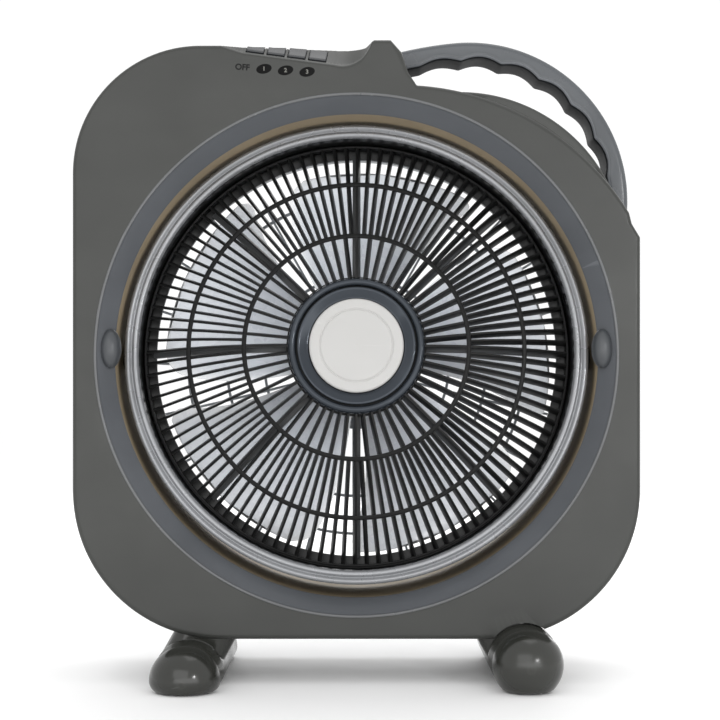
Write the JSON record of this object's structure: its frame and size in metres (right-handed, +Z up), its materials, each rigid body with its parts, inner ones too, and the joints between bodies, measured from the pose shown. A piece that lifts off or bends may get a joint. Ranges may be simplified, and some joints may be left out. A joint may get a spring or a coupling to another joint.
{
  "type": "box fan",
  "caption": "Rounded-square box fan on two feet, with a corner handle, piano keys and a tilting round head behind a turning louver grille.",
  "frame": {"origin": "on the floor, under the middle of the fan's bounding box", "axes": "+Z up, -Y towards the front where the air leaves, +X to the right seen from the front"},
  "size_m": [0.414, 0.216, 0.4785],
  "materials": {
    "housing_grey": "satin moulded plastic",
    "handle_grey": "half-gloss moulded plastic",
    "key_grey": "half-gloss moulded plastic",
    "bezel_silver": "silver-painted plastic trim",
    "head_grey": "satin moulded plastic",
    "spider_grey": "satin moulded plastic",
    "louver_black": "half-gloss black plastic",
    "hub_blue": "glossy blue-grey plastic",
    "badge_white": "plain off-white disc",
    "blade_grey": "pale translucent-looking plastic",
    "steel": "plated steel",
    "bronze": "sintered bronze",
    "motor_iron": "grey motor case",
    "rubber": "soft black rubber",
    "wire_grey": "grey insulation",
    "switch_white": "cream phenolic"
  },
  "bodies": {
    "housing": {"front_shell": "housing_grey", "rear_shell": "housing_grey", "carry_handle": "handle_grey", "switch_block": "switch_white", "capacitor": "switch_white", "wiring_loom": "wire_grey", "cord_inlet": "rubber", "shell_screw_1": "steel", "shell_screw_2": "steel", "shell_screw_3": "steel", "shell_screw_4": "steel", "shell_screw_5": "steel", "shell_screw_6": "steel", "foot_left": "housing_grey", "foot_right": "housing_grey", "foot_pad_left_front": "rubber", "foot_pad_left_rear": "rubber", "foot_pad_right_front": "rubber", "foot_pad_right_rear": "rubber", "pivot_pin_left": "steel", "pivot_pin_right": "steel", "pivot_cap_left": "head_grey", "pivot_cap_right": "head_grey"},
    "head": {"pivot_bush_left": "bronze", "pivot_bush_right": "bronze", "friction_washer_left": "rubber", "friction_washer_right": "rubber", "head_shroud": "head_grey", "head_bezel": "bezel_silver", "front_spider": "spider_grey", "louver_spindle": "steel", "rear_guard": "head_grey", "motor_front_cover": "motor_iron", "motor_rear_cover": "motor_iron", "motor_stator": "motor_iron", "bearing_front": "bronze", "bearing_rear": "bronze", "motor_screw_1": "steel", "motor_screw_2": "steel", "motor_screw_3": "steel", "motor_screw_4": "steel"},
    "rotor": {"motor_shaft": "steel", "motor_rotor": "motor_iron", "fan_blade": "blade_grey", "drive_pin": "steel", "spinner_nut": "head_grey"},
    "louver": {"louver_grille": "louver_black", "louver_hub_ring": "hub_blue", "centre_badge": "badge_white"},
    "off_key": {"key_off": "key_grey"},
    "speed_key_1": {"key_1": "key_grey"},
    "speed_key_2": {"key_2": "key_grey"},
    "speed_key_3": {"key_3": "key_grey"}
  },
  "joints": [
    {"name": "head_tilt", "type": "hinge", "parent": "housing", "child": "head", "pos_m": [0, 0, 0.24], "axis": [-1, 0, 0], "range_deg": [-16, 24]},
    {"name": "rotor_spin", "type": "hinge", "parent": "head", "child": "rotor", "pos_m": [0, 0, 0.24], "axis": [0, 0.9945, -0.1045], "continuous": true},
    {"name": "louver_spin", "type": "hinge", "parent": "head", "child": "louver", "pos_m": [0, 0, 0.24], "axis": [0, 0.9945, -0.1045], "continuous": true},
    {"name": "off_key_press", "type": "slide", "parent": "housing", "child": "off_key", "axis": [-0.0986, 0.6445, -0.7582], "range_m": [0, 0.003], "stiffness_N_per_m": 300, "springref_m": -0.002},
    {"name": "speed_key_1_press", "type": "slide", "parent": "housing", "child": "speed_key_1", "axis": [-0.0986, 0.6445, -0.7582], "range_m": [0, 0.003], "stiffness_N_per_m": 300, "springref_m": -0.002},
    {"name": "speed_key_2_press", "type": "slide", "parent": "housing", "child": "speed_key_2", "axis": [-0.0986, 0.6445, -0.7582], "range_m": [0, 0.003], "stiffness_N_per_m": 300, "springref_m": -0.002},
    {"name": "speed_key_3_press", "type": "slide", "parent": "housing", "child": "speed_key_3", "axis": [-0.0986, 0.6445, -0.7582], "range_m": [0, 0.003], "stiffness_N_per_m": 300, "springref_m": -0.002}
  ]
}
